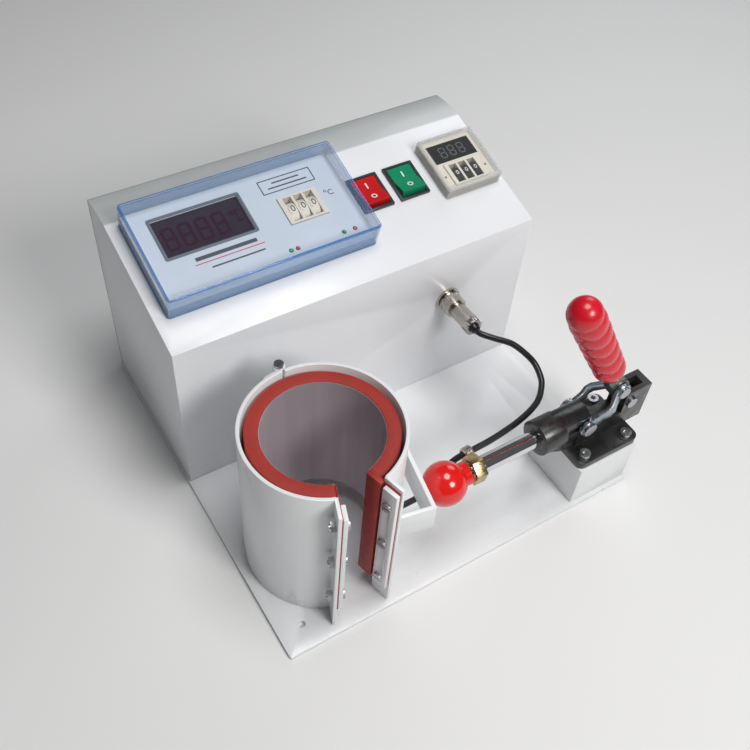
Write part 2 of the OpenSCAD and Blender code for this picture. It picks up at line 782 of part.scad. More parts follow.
module hinge_pin() {
    color("Silver") {
        translate([sx, hinge_y, z0 + 0.6]) cylinder(h = sleeve_h + 0.4, r = pin_r);
        translate([sx, hinge_y, z0 + sleeve_h - 0.6]) cylinder(h = 2, r = 3.4);
    }
}

module push_bracket() {
    color("WhiteSmoke") difference() {
        translate([sx, sy, ax_z - bar_h / 2]) bar([brk_a, brk_b, brk_c, brk_d], bar_t, bar_h);
        translate([sx, sy, 0]) cylinder(h = 400, r = R, $fn = 96);
        at_sleeve(a_right) translate([0, -20, 0]) cube([2 * R, 20 + shell_t, 400]);
    }
}

// the two mats leave a wedge open at the hinge so that the sleeve can close
module mat_arc(a0, a1, ri, ro, side) {
    difference() {
        ring_arc(a0, a1, ri, ro, mat_z, mat_h);
        translate([sx, hinge_y, mat_z - 1]) rotate([0, 0, side > 0 ? -90 : -95.5])
            linear_extrude(height = mat_h + 2) polygon([[0, -0.3], [60, -0.3], [60, 5.9], [0, 0.3]]);
    }
}

module fixed_mat() {
    color("Red") difference() {
        union() {
            mat_arc(90, a_left + mat_turn, mat_ri, mat_ro, -1);
            at_sleeve(a_left) translate([mat_ri + mat_lip, 0, mat_z + inset])
                cube([flange_end - mat_ri - mat_lip - 1, selv_t, mat_h - 2 * inset]);
        }
        flange_holes(a_left);
    }
}

module moving_mat() {
    color("Red") difference() {
        union() {
            mat_arc(a_right - 360 - mat_turn, 90, mat_ri, mat_ro, 1);
            at_sleeve(a_right) translate([mat_ri + mat_lip, -selv_t, mat_z + inset])
                cube([flange_end - mat_ri - mat_lip - 1, selv_t, mat_h - 2 * inset]);
            at_sleeve(a_right) translate([mat_ri + 2 * mat_lip, -strip_t - selv_t, mat_z + 2 * inset])
                cube([R - mat_ri - 2 * mat_lip - shell_t / 2, strip_t + 0.7 * selv_t, mat_h - 4 * inset]);
        }
        flange_holes(a_right);
    }
}

module strip(a, side) {
    difference() {
        at_sleeve(a) translate([R + 0.6, side > 0 ? -strip_t - selv_t : selv_t, mat_z])
            cube([strip_w, strip_t, mat_h - 1]);
        flange_holes(a);
    }
}

module left_strip() {
    color("WhiteSmoke") strip(a_left, -1);
}

module right_strip() {
    color("WhiteSmoke") strip(a_right, 1);
}

module strip_set(a, side, part) {
    for (z = strip_zs)
        at_sleeve(a) translate([strip_r, 0, z]) rotate([side * 90, 0, 0])
            if (part == "screw")
                translate([0, 0, -shell_t - 4.2])
                    slot_screw(strip_sr, shell_t + 4.2 + strip_t + selv_t, 3.7, 2.2);
            else
                translate([0, 0, -shell_t - 3.2]) nut(7, 3.2, strip_sr);
}

module left_strip_screws() {
    color("Silver") strip_set(a_left, -1, "screw");
}

module right_strip_screws() {
    color("Silver") strip_set(a_right, 1, "screw");
}

module left_strip_nuts() {
    color("Silver") strip_set(a_left, -1, "nut");
}

module right_strip_nuts() {
    color("Silver") strip_set(a_right, 1, "nut");
}

// ---------- push clamp ----------
fl_x = pedestal_w / 2 - 7;
fl_y = pedestal_w / 2 - 8;

module clamp_pedestal() {
    h = pedestal_w / 2;
    color("WhiteSmoke") difference() {
        union() {
            difference() {
                translate([pcx - h, pcy - h, z0]) cube([pedestal_w, pedestal_w, pedestal_h]);
                translate([pcx - h + 2, pcy - h + 2, z0 - 1])
                    cube([pedestal_w - 4, pedestal_w - 4, pedestal_h - 1]);
            }
            for (s = [-1, 1])
                translate([pcx - h + 1, s > 0 ? pcy + h - 11 : pcy - h + 1, z0])
                    cube([pedestal_w - 2, 10, 2]);
        }
        for (p = pedestal_screws)
            translate([pcx + p[0] * 14, pcy + p[1] * (h - 8), z0 - 1]) cylinder(h = 4, r = 2 + screw_gap);
        for (x = [-1, 1])
            for (y = [-1, 1])
                translate([pcx + x * fl_x, pcy + y * fl_y, pz - 5]) cylinder(h = 10, r = 2.5 + screw_gap);
    }
}

module clamp_body() {
    color("DimGray") difference() {
        union() {
            translate([pcx - fl_x - 8, pcy - fl_y - 6, pz]) plate(2 * fl_x + 18, 2 * fl_y + 12, 6, 6);
            for (x = [-1, 1])
                for (y = [-1, 1])
                    translate([pcx + x * fl_x, pcy + y * fl_y, pz]) cylinder(h = 7.2, r = 5.4);
            along_x(barrel_x0, pcy, ax_z) cylinder(h = 19, r = barrel_r);
            intersection() {
                along_x(barrel_x0 + 18, pcy, ax_z) cylinder(h = barrel_x1 - barrel_x0 - 18, r = barrel_r);
                translate([barrel_x0, pcy - 9, z0]) cube([200, 18, 300]);
            }
            translate([0, pcy + 6, 0]) rotate([90, 0, 0]) linear_extrude(height = 12)
                polygon([[barrel_x0 + 4, ax_z - rod_r - 4], [barrel_x0 + 4, ax_z - barrel_r],
                    [pcx - 26, pz + 2], [pcx - 8, pz + 2], [pcx - 8, ax_z - rod_r - 4]]);
            translate([pcx - 20, pcy - lug_w / 2, pz + 5]) cube([65, lug_w, rod_h - rod_r - 8]);
            translate([pcx + 21, pcy - lug_w / 2, pz + 5]) cube([24, lug_w, rod_h + 7]);
        }
        along_x(barrel_x0 - 1, pcy, ax_z) cylinder(h = 46, r = rod_r + run_gap);
        translate([plug_pin_x - 16, pcy - 20, ax_z - 2.9]) cube([36, 40, 5.8]);
        translate([pcx + 17, pcy - root_t / 2 - 0.15, ax_z - 9.6]) cube([22.5, root_t + 0.3, 40]);
        along_y(piv_x, pcy - 20, ax_z) cylinder(h = 40, r = 3 + pin_gap);
        for (x = [-1, 1])
            for (y = [-1, 1])
                translate([pcx + x * fl_x, pcy + y * fl_y, pz - 1]) cylinder(h = 10, r = 2.5 + screw_gap);
    }
}

module clamp_bolts() {
    color("Silver")
        for (x = [-1, 1])
            for (y = [-1, 1])
                translate([pcx + x * fl_x, pcy + y * fl_y, pz - 8]) difference() {
                    union() {
                        cylinder(h = 15.2 + e, r = 2.5);
                        translate([0, 0, 15.2]) cylinder(h = 3.6, r = 4.2);
                    }
                    translate([0, 0, 16.6]) cylinder(h = 4, r = 2.3, $fn = 6);
                }
}

module clamp_nuts() {
    color("Silver")
        for (x = [-1, 1])
            for (y = [-1, 1])
                translate([pcx + x * fl_x, pcy + y * fl_y, pz - 6]) nut(8, 4, 2.5);
}

module plunger_rod() {
    th = rod_r - 0.6;
    color("Silver") difference() {
        union() {
            along_x(ball_x + 2, pcy, ax_z) cylinder(h = 30, r = th);
            along_x(ball_x + 31, pcy, ax_z) cylinder(h = plug_pin_x + 7 - ball_x - 31, r = rod_r);
        }
        along_y(plug_pin_x, pcy - 20, ax_z) cylinder(h = 40, r = 2.5 + run_gap / 2);
    }
}

module jam_nut() {
    color("Peru") along_x(ball_x + 20.5, pcy, ax_z) rotate([0, 0, 10]) difference() {
        cylinder(h = 9, r = 19 / sqrt(3), $fn = 6);
        translate([0, 0, -1]) cylinder(h = 12, r = rod_r - 0.6 + run_gap);
    }
}

module ball_tip() {
    color("Red") difference() {
        union() {
            along_x(ball_x, pcy, ax_z) sphere(r = ball_r);
            along_x(ball_x + ball_r - 3, pcy, ax_z) cylinder(h = 5, r = rod_r + 2.2);
        }
        along_x(ball_x + 1.5, pcy, ax_z) cylinder(h = 30, r = rod_r - 0.6 + run_gap);
    }
}

module in_lever() {
    translate([pin_q[0], pcy, pin_q[1]]) rotate([0, -handle_lean, 0]) children();
}

module handle_lever() {
    d = pin_q - [piv_x, ax_z];
    color("SlateGray") difference() {
        union() {
            along_y(piv_x, pcy - root_t / 2, ax_z) cylinder(h = root_t, r = 8.5);
            along_y(pin_q[0], pcy - root_t / 2, pin_q[1]) cylinder(h = root_t, r = 8);
            translate([piv_x, pcy, ax_z]) rotate([0, -atan2(d[1], d[0]), 0])
                translate([0, -root_t / 2 + 0.4, -7]) cube([norm(d), root_t - 0.8, 14]);
            in_lever() translate([-shank_w / 2, -shank_t / 2, 0])
                cube([shank_w, shank_t, grip_s + grip_l - 14]);
        }
        along_y(piv_x, pcy - 20, ax_z) cylinder(h = 40, r = 3 + pin_gap);
        along_y(pin_q[0], pcy - 20, pin_q[1]) cylinder(h = 40, r = 3 + pin_gap);
    }
}

module handle_grip() {
    r = grip_d / 2;
    n = 6;
    rib = (grip_l - r - 10) / n;
    color("Red") in_lever() translate([0, 0, grip_s]) difference() {
        union() {
            rotate_extrude() polygon(concat(
                [[0, 0], [r - 4.5, 0], [r - 2.2, 4]],
                [for (i = [0:n - 1]) for (q = [[-0.4, 0.12], [1.1, 0.35], [1.1, 0.65], [-0.4, 0.9]])
                    [r - 1.2 + q[0], 5 + rib * (i + q[1])]],
                [[r - 0.4, grip_l - r - 4], [r - 0.4, grip_l - r], [0, grip_l - r]]));
            translate([0, 0, grip_l - r]) sphere(r = r - 0.4);
        }
        translate([-shank_w / 2, -shank_t / 2, -1]) cube([shank_w, shank_t, grip_l - 13]);
    }
}

module toggle_links() {
    color("LightSteelBlue") for (s = [-1, 1])
        translate([plug_pin_x, pcy, ax_z]) rotate([0, -link_a, 0]) difference() {
            intersection() {
                translate([0, 0, -8]) bar([[-8, s * 11], [0.35 * link_l, s * 11], [0.5 * link_l, s * 12.4],
                    [0.62 * link_l, s * 11.6], [0.86 * link_l, s * 6], [link_l + 8, s * 6]], link_t, 16);
                union() {
                    rotate([-90, 0, 0]) translate([0, 0, -20]) cylinder(h = 40, r = 7);
                    translate([link_l, 0, 0]) rotate([-90, 0, 0]) translate([0, 0, -20])
                        cylinder(h = 40, r = 6.5);
                    translate([0, -20, -5]) cube([link_l, 40, 10]);
                }
            }
            rotate([-90, 0, 0]) translate([0, 0, -20]) cylinder(h = 40, r = 2.5 + eye_gap);
            translate([link_l, 0, 0]) rotate([-90, 0, 0]) translate([0, 0, -20])
                cylinder(h = 40, r = 3 + pin_gap);
        }
}

module headed_pin(x, z, r, half, hr) {
    along_y(x, pcy - half, z) cylinder(h = 2 * half, r = r);
    along_y(x, pcy - half - 1.8, z) cylinder(h = 1.8 + e, r = hr);
    along_y(x, pcy + half - e, z) cylinder(h = 1.8 + e, r = hr);
}

module handle_pivot_pin() {
    color("Silver") headed_pin(piv_x, ax_z, 3, lug_w / 2 + 0.05, 4.6);
}

module link_pin() {
    color("Silver") headed_pin(pin_q[0], pin_q[1], 3, 6 + link_t / 2 + 0.1, 4.8);
}

module plunger_pin() {
    color("Silver") headed_pin(plug_pin_x, ax_z, 2.5, 12.5 + 0.2, 5.6);
}

base_plate();
base_screws();
console_case();
rear_panel();
rear_screws();
power_inlet();
relay();
controller_case();
display_window();
display_digits();
lamps_green();
lamps_red();
setting_frame();
setting_wheel(0);  // setting_wheel_1
setting_wheel(1);  // setting_wheel_2
setting_wheel(2);  // setting_wheel_3
blue_cover();
red_switch_frame();
red_rocker();
green_switch_frame();
green_rocker();
timer_housing();
timer_face();
timer_window();
timer_wheel(0);  // timer_wheel_1
timer_wheel(1);  // timer_wheel_2
timer_wheel(2);  // timer_wheel_3
timer_cover();
heater_socket();
plug_ring();
plug_body();
plug_tail();
heater_lead();
lead_ferrule();
lead_grommet();
fixed_sleeve();
moving_sleeve();
hinge_pin();
push_bracket();
fixed_mat();
moving_mat();
left_strip();
right_strip();
left_strip_screws();
right_strip_screws();
left_strip_nuts();
right_strip_nuts();
clamp_pedestal();
clamp_body();
clamp_bolts();
clamp_nuts();
plunger_rod();
jam_nut();
ball_tip();
handle_lever();
handle_grip();
toggle_links();
handle_pivot_pin();
link_pin();
plunger_pin();
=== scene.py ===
"""Looks for the bench mug heat press: materials, and the detailed pieces that ride on the CAD frame.

Everything is in metres, in the frame of the CAD model: X to the right, Y to the back, Z up.
"""

import json
import math

import bmesh
import bpy
from mathutils import Matrix, Vector

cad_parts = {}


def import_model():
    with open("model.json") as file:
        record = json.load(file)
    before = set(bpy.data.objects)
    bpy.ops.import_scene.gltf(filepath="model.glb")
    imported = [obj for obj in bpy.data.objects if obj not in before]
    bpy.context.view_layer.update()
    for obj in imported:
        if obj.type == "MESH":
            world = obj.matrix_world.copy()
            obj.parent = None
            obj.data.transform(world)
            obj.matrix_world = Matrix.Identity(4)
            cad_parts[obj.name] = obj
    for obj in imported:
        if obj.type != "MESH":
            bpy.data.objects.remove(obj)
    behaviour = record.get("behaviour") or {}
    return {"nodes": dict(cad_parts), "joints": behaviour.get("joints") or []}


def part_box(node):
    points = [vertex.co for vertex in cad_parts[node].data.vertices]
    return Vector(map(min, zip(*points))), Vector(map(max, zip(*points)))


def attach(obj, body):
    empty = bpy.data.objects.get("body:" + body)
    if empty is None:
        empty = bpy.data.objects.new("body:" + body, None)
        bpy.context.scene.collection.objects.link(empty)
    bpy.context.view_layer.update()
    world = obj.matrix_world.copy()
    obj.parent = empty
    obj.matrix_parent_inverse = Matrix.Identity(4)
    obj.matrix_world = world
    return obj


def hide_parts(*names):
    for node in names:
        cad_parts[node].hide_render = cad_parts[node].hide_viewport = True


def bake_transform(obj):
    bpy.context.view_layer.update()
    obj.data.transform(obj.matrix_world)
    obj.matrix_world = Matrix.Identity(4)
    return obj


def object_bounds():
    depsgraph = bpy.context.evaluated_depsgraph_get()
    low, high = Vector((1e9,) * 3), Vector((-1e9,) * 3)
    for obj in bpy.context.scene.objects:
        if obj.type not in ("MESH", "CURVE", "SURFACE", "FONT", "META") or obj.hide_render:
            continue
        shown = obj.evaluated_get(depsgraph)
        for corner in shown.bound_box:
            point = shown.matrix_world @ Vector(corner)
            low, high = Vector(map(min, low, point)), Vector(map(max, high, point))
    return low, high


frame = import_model()
cad_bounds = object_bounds()

MM = 0.001
JOINTS = {j["name"]: j for j in frame["joints"]}


# ---------- places taken from the frame ----------
def joint_at(name):
    return Vector(JOINTS[name]["pos_m"])


NORMAL = Vector(JOINTS["blue_cover_lift"]["axis"]).normalized()
UPHILL = Vector((0, NORMAL.z, -NORMAL.y))
PANEL = Matrix((Vector((1, 0, 0)), UPHILL, NORMAL)).transposed().to_4x4()


def panel_box(node):
    """Lowest and highest corner of a CAD node along the axes of the sloped panel."""
    back = PANEL.inverted()
    points = [back @ v.co for v in frame["nodes"][node].data.vertices]
    low = Vector([min(p[i] for p in points) for i in range(3)])
    high = Vector([max(p[i] for p in points) for i in range(3)])
    return low, high


def on_panel(height):
    """A matrix for flat shapes drawn in panel coordinates, at that distance along the normal."""
    return PANEL @ Matrix.Translation((0, 0, height))


HINGE = joint_at("sleeve_hinge")
SLEEVE_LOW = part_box("fixed_sleeve")[0]
SLEEVE_R = HINGE.x - SLEEVE_LOW.x
MAT_LOW, MAT_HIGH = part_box("fixed_mat")
MAT_OUT = HINGE.x - MAT_LOW.x
CONSOLE_DEPTH_MM = 138
PANEL_SHARE = 0.77  # the part of the console's depth that lies under the sloped panel
PANEL_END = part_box("console_case")[0].y + PANEL_SHARE * CONSOLE_DEPTH_MM * MM
HINGE_OFFSET = 4.5 * MM
SLEEVE_C = Vector((HINGE.x, HINGE.y - SLEEVE_R - HINGE_OFFSET, 0))


# ---------- materials ----------
class Look:
    """A Principled material with noise for colour, roughness and bump, in object coordinates."""

    def __init__(self, name, color, rough, metal=0.0, **sockets):
        self.mat = bpy.data.materials.new(name)
        self.mat.use_nodes = True
        self.tree = self.mat.node_tree
        self.bsdf = self.tree.nodes["Principled BSDF"]
        self.color = (*color, 1.0)
        self.rough = rough
        self.bsdf.inputs["Base Color"].default_value = self.color
        self.bsdf.inputs["Roughness"].default_value = rough
        self.bsdf.inputs["Metallic"].default_value = metal
        for socket, value in sockets.items():
            self.bsdf.inputs[socket.replace("_", " ")].default_value = value
        self.place = self.node("ShaderNodeTexCoord").outputs["Object"]
        self.last_normal = None
        self.color_out = None

    def node(self, kind, **values):
        made = self.tree.nodes.new(kind)
        for key, value in values.items():
            setattr(made, key, value)
        return made

    def link(self, out, socket):
        self.tree.links.new(out, socket)

    def noise(self, scale, detail=3.0, stretch=(1, 1, 1), rough=0.55):
        mapping = self.node("ShaderNodeMapping")
        mapping.inputs["Scale"].default_value = stretch
        self.link(self.place, mapping.inputs["Vector"])
        made = self.node("ShaderNodeTexNoise")
        made.inputs["Scale"].default_value = scale
        made.inputs["Detail"].default_value = detail
        made.inputs["Roughness"].default_value = rough
        self.link(mapping.outputs["Vector"], made.inputs["Vector"])
        return made.outputs["Fac"]

    def spread(self, fac, low, high, start=0.3, end=0.7):
        made = self.node("ShaderNodeMapRange")
        made.inputs["From Min"].default_value = start
        made.inputs["From Max"].default_value = end
        made.inputs["To Min"].default_value = low
        made.inputs["To Max"].default_value = high
        self.link(fac, made.inputs["Value"])
        return made.outputs["Result"]

    def tint(self, fac, color, amount=1.0, start=0.35, end=0.7):
        """Mixes another colour in where the pattern is strong."""
        mix = self.node("ShaderNodeMix", data_type="RGBA")
        self.link(self.spread(fac, 0.0, amount, start, end), mix.inputs["Factor"])
        if self.color_out:
            self.link(self.color_out, mix.inputs["A"])
        else:
            mix.inputs["A"].default_value = self.color
        mix.inputs["B"].default_value = (*color, 1.0)
        self.color_out = mix.outputs["Result"]
        self.link(self.color_out, self.bsdf.inputs["Base Color"])
        return self

    def vary_rough(self, fac, span):
        self.link(
            self.spread(fac, self.rough - span, self.rough + span),
            self.bsdf.inputs["Roughness"],
        )
        return self

    def bump(self, fac, height, strength=1.0):
        made = self.node("ShaderNodeBump")
        made.inputs["Distance"].default_value = height
        made.inputs["Strength"].default_value = strength
        self.link(fac, made.inputs["Height"])
        if self.last_normal:
            self.link(self.last_normal, made.inputs["Normal"])
        self.last_normal = made.outputs["Normal"]
        self.link(self.last_normal, self.bsdf.inputs["Normal"])
        return self

    def edge_wear(self, color, radius, amount):
        """Lightens the edges, broken up by noise: paint rubbed thin or metal polished by use."""
        bevel = self.node("ShaderNodeBevel", samples=4)
        bevel.inputs["Radius"].default_value = radius
        flat = self.node("ShaderNodeNewGeometry")
        dot = self.node("ShaderNodeVectorMath", operation="DOT_PRODUCT")
        self.link(bevel.outputs["Normal"], dot.inputs[0])
        self.link(flat.outputs["Normal"], dot.inputs[1])
        edge = self.spread(dot.outputs["Value"], 1.0, 0.0, 0.72, 0.97)
        broken = self.spread(self.noise(240, 4.0), 0.0, 1.0, 0.42, 0.62)
        both = self.node("ShaderNodeMath", operation="MULTIPLY")
        self.link(edge, both.inputs[0])
        self.link(broken, both.inputs[1])
        return self.tint(both.outputs["Value"], color, amount, 0.0, 1.0)


def paint_grain(look):
    """The roughness and the fine and broad ripple that the painted looks share."""
    look.vary_rough(look.noise(30, 3.0), 0.06)
    look.bump(look.noise(620, 2.0), 0.00007, 0.45)
    look.bump(look.noise(38, 2.0), 0.0003, 0.12)
    return look.mat


def paint(name, color):
    look = Look(name, color, 0.33, Coat_Weight=0.25, Coat_Roughness=0.15)
    look.tint(look.noise(7, 4.0), tuple(c * 0.88 for c in color), 0.45)
    look.tint(look.noise(900, 2.0), (0.60, 0.60, 0.60), 0.25, 0.66, 0.74)
    return paint_grain(look)


def console_paint_with_painted_shade():
    """The same paint, with painted shade: greyer along the strip at the back of the top, where it
    faces up.
    """
    look = Look("console_paint_with_painted_shade", (0.80, 0.81, 0.84), 0.34, Coat_Weight=0.25, Coat_Roughness=0.15)
    axes = look.node("ShaderNodeSeparateXYZ")
    look.link(look.place, axes.inputs["Vector"])
    strip = PANEL_END - 0.5 * MM
    facing = look.node("ShaderNodeSeparateXYZ")
    coords = look.place.node
    look.link(coords.outputs["Normal"], facing.inputs["Vector"])
    shade_facing_up = look.spread(facing.outputs["Z"], 0.0, 1.0, 0.25, 0.55)
    shade_strip_behind = look.spread(axes.outputs["Y"], 0.0, 1.0, strip, strip + 2 * MM)
    both = look.node("ShaderNodeMath", operation="MULTIPLY")
    look.link(shade_facing_up, both.inputs[0])
    look.link(shade_strip_behind, both.inputs[1])
    # painted shade: the upward-facing strip at the back of the top is tinted grey
    look.tint(both.outputs["Value"], (0.36, 0.385, 0.375), 0.8, 0.0, 1.0)
    look.tint(look.noise(7, 4.0), (0.70, 0.71, 0.735), 0.35)
    return paint_grain(look)


def brushed(name, color, rough, stretch, wear=(0.85, 0.85, 0.85)):
    look = Look(name, color, rough, 1.0, Anisotropic=0.35)
    look.tint(look.noise(60, 4.0), tuple(c * 0.62 for c in color), 0.55)
    look.vary_rough(look.noise(120, 4.0, stretch), 0.09)
    look.bump(look.noise(420, 3.0, stretch), 0.00006, 0.5)
    look.edge_wear(wear, 0.0005, 0.55)
    return look.mat


def chrome():
    look = Look("chrome", (0.78, 0.78, 0.80), 0.07, 1.0)
    look.tint(look.noise(90, 5.0), (0.50, 0.49, 0.50), 0.4, 0.45, 0.75)
    look.vary_rough(look.noise(260, 4.0, (1, 12, 12)), 0.03)
    look.bump(look.noise(40, 2.0), 0.00004, 0.15)
    return look.mat


def brass():
    look = Look("brass", (0.66, 0.50, 0.26), 0.27, 1.0)
    look.tint(look.noise(120, 5.0), (0.34, 0.25, 0.13), 0.65)
    look.vary_rough(look.noise(300, 4.0), 0.1)
    look.bump(look.noise(700, 3.0, (6, 1, 1)), 0.00008, 0.5)
    look.edge_wear((0.88, 0.76, 0.48), 0.0006, 0.7)
    return look.mat


def black_cast():
    look = Look("black_cast", (0.012, 0.012, 0.013), 0.36, Coat_Weight=0.35, Coat_Roughness=0.22)
    look.tint(look.noise(45, 4.0), (0.035, 0.035, 0.034), 0.7)
    look.vary_rough(look.noise(160, 4.0), 0.12)
    look.bump(look.noise(420, 4.0), 0.00022, 0.6)
    look.edge_wear((0.20, 0.20, 0.20), 0.0006, 0.6)
    return look.mat


def plastic(name, color, rough, grain=0.00006, coat=0.0, dirt=0.3):
    look = Look(name, color, rough, Coat_Weight=coat, Coat_Roughness=0.08)
    look.tint(look.noise(24, 4.0), tuple(c * 0.72 for c in color), dirt)
    look.vary_rough(look.noise(140, 4.0), 0.06)
    look.bump(look.noise(1300, 2.0), grain, 0.55)
    return look.mat


def silicone():
    look = Look("red_silicone", (0.36, 0.022, 0.013), 0.6, Sheen_Weight=0.04, Sheen_Roughness=0.5)
    look.tint(look.noise(70, 5.0), (0.30, 0.020, 0.012), 0.65)
    look.tint(look.noise(1500, 2.0), (0.60, 0.10, 0.06), 0.35, 0.58, 0.72)
    look.vary_rough(look.noise(200, 3.0), 0.08)
    look.bump(look.noise(1100, 3.0), 0.00018, 0.7)
    return look.mat


def foil():
    """The inner face of the mat: a thin metal sheet with heat tints and a vertical grain."""
    look = Look("mat_foil", (0.43, 0.37, 0.41), 0.40, 0.25)
    look.tint(look.noise(16, 3.0, (1, 1, 0.12)), (0.62, 0.57, 0.58), 0.75)
    look.tint(look.noise(28, 3.0, (1, 1, 0.10)), (0.34, 0.24, 0.32), 0.55, 0.45, 0.7)
    look.vary_rough(look.noise(340, 4.0, (1, 1, 0.02)), 0.12)
    look.bump(look.noise(900, 3.0, (1, 1, 0.015)), 0.00009, 0.7)
    return look.mat


def clear(name, color, alpha, rough=0.07):
    look = Look(name, color, rough, Alpha=alpha, IOR=1.49, Coat_Weight=0.4, Coat_Roughness=0.03)
    look.tint(look.noise(14, 3.0), tuple(min(1.0, c * 1.25) for c in color), 0.5)
    look.vary_rough(look.noise(220, 4.0), 0.035)
    look.bump(look.noise(60, 2.0), 0.0001, 0.15)
    return look.mat


def grip_rubber():
    look = Look("red_grip", (0.66, 0.004, 0.020), 0.3, Coat_Weight=0.2, Coat_Roughness=0.12)
    look.tint(look.noise(50, 4.0), (0.50, 0.003, 0.014), 0.5)
    look.vary_rough(look.noise(180, 4.0), 0.07)
    look.bump(look.noise(700, 3.0), 0.0001, 0.4)
    return look.mat


def ball_plastic():
    look = Look("red_ball", (0.76, 0.010, 0.008), 0.17, Coat_Weight=0.5, Coat_Roughness=0.06)
    look.tint(look.noise(40, 4.0), (0.55, 0.006, 0.006), 0.4)
    look.vary_rough(look.noise(160, 4.0), 0.05)
    look.bump(look.noise(90, 3.0), 0.00012, 0.2)
    return look.mat


def floor_paper():
    look = Look("floor_paper", (0.80, 0.80, 0.80), 0.85)
    look.tint(look.noise(3, 3.0), (0.78, 0.78, 0.78), 0.4)
    look.bump(look.noise(500, 3.0), 0.00004, 0.3)
    return look.mat


WHITE = paint("white_paint", (0.80, 0.815, 0.83))
REAR = paint("rear_paint", (0.33, 0.36, 0.35))
CONSOLE = console_paint_with_painted_shade()
ZINC = brushed("zinc_screw", (0.62, 0.63, 0.66), 0.30, (1, 1, 6))
PIN = brushed("steel_pin", (0.50, 0.51, 0.54), 0.26, (1, 8, 1))
LINK = brushed("link_steel", (0.40, 0.47, 0.52), 0.32, (6, 1, 1), (0.75, 0.80, 0.84))
LEVER = brushed("lever_steel", (0.24, 0.26, 0.23), 0.42, (1, 1, 7), (0.5, 0.52, 0.48))
NICKEL = brushed("nickel", (0.60, 0.57, 0.52), 0.22, (5, 1, 5), (0.86, 0.83, 0.78))
CHROME = chrome()
BRASS = brass()
CAST = black_cast()
BALL = ball_plastic()
GRIP = grip_rubber()
SILICONE = silicone()
FOIL = foil()
BLACK = plastic("black_plastic", (0.018, 0.018, 0.020), 0.38, coat=0.1)
BEIGE = plastic("beige_plastic", (0.74, 0.70, 0.61), 0.45)
GREY_FACE = plastic("grey_face", (0.57, 0.64, 0.73), 0.42, 0.00003, dirt=0.2)
PALE = plastic("pale_plastic", (0.66, 0.69, 0.72), 0.4)
INK = plastic("print_ink", (0.06, 0.065, 0.08), 0.5)
INK_RED = plastic("print_red", (0.62, 0.03, 0.05), 0.5)
MARK = plastic("mark_white", (0.82, 0.80, 0.76), 0.4)
LCD = plastic("lcd_segment", (0.11, 0.12, 0.12), 0.3)
WELL = plastic("display_well", (0.13, 0.15, 0.18), 0.4)
SEGMENT = plastic("segment_red", (0.85, 0.035, 0.04), 0.3, coat=0.2)
LAMP_GREEN = plastic("lamp_green", (0.03, 0.30, 0.11), 0.25, coat=0.4)
LAMP_RED = plastic("lamp_red", (0.55, 0.06, 0.06), 0.25, coat=0.4)
ROCKER_RED = plastic("rocker_red", (0.58, 0.008, 0.010), 0.2, coat=0.5)
ROCKER_GREEN = plastic("rocker_green", (0.004, 0.26, 0.12), 0.2, coat=0.5)
LEAD = plastic("lead_black", (0.012, 0.012, 0.012), 0.33, 0.0001, coat=0.15)
BLUE = clear("blue_clear", (0.20, 0.42, 0.80), 0.02)
BLUE_EDGE = clear("blue_edge", (0.045, 0.17, 0.47), 0.66)
BLUE_SIDE = clear("blue_side", (0.16, 0.36, 0.66), 0.34)
CLEAR = clear("clear_cover", (0.62, 0.64, 0.65), 0.025)
CLEAR_EDGE = clear("clear_edge", (0.62, 0.63, 0.63), 0.30)
CLEAR_SIDE = clear("clear_side", (0.42, 0.43, 0.43), 0.28)
RED_WINDOW = clear("red_window", (0.030, 0.003, 0.005), 0.60, 0.12)
DARK_WINDOW = clear("dark_window", (0.008, 0.009, 0.010), 0.95, 0.14)

CAD_LOOKS = {
    CONSOLE: "console_case",
    WHITE: "base_plate fixed_sleeve moving_sleeve push_bracket left_strip "
    "right_strip clamp_pedestal",
    REAR: "rear_panel",
    ZINC: "base_screws rear_screws left_strip_screws right_strip_screws left_strip_nuts "
    "right_strip_nuts clamp_bolts clamp_nuts",
    PIN: "hinge_pin handle_pivot_pin link_pin plunger_pin",
    CHROME: "plunger_rod",
    LINK: "toggle_links",
    LEVER: "handle_lever",
    BRASS: "jam_nut",
    CAST: "clamp_body",
    BALL: "ball_tip",
    GRIP: "handle_grip",
    SILICONE: "fixed_mat moving_mat",
    PALE: "controller_case",
    BLACK: "red_switch_frame green_switch_frame timer_housing power_inlet relay "
    "timer_wheel_1 timer_wheel_2 timer_wheel_3",
    BEIGE: "setting_frame timer_face setting_wheel_1 setting_wheel_2 setting_wheel_3",
    BLUE: "blue_cover",
    CLEAR: "timer_cover",
    RED_WINDOW: "display_window",
    DARK_WINDOW: "timer_window",
    SEGMENT: "display_digits",
    LAMP_GREEN: "lamps_green",
    LAMP_RED: "lamps_red",
    ROCKER_RED: "red_rocker",
    ROCKER_GREEN: "green_rocker",
    LEAD: "heater_lead plug_tail lead_grommet",
    NICKEL: "heater_socket plug_ring plug_body lead_ferrule",
}
# widths of the rounding on the edges of CAD nodes that are seen close up
ROUNDED = {
    "base_plate": 0.5,
    "console_case": 0.45,
    "fixed_sleeve": 0.5,
    "moving_sleeve": 0.5,
    "push_bracket": 0.6,
    "left_strip": 0.35,
    "right_strip": 0.35,
    "clamp_pedestal": 0.9,
    "clamp_body": 0.6,
    "toggle_links": 0.4,
    "handle_lever": 0.5,
    "controller_case": 0.4,
    "red_switch_frame": 0.4,
    "green_switch_frame": 0.4,
    "jam_nut": 0.4,
    "plug_ring": 0.25,
    "plug_body": 0.25,
}


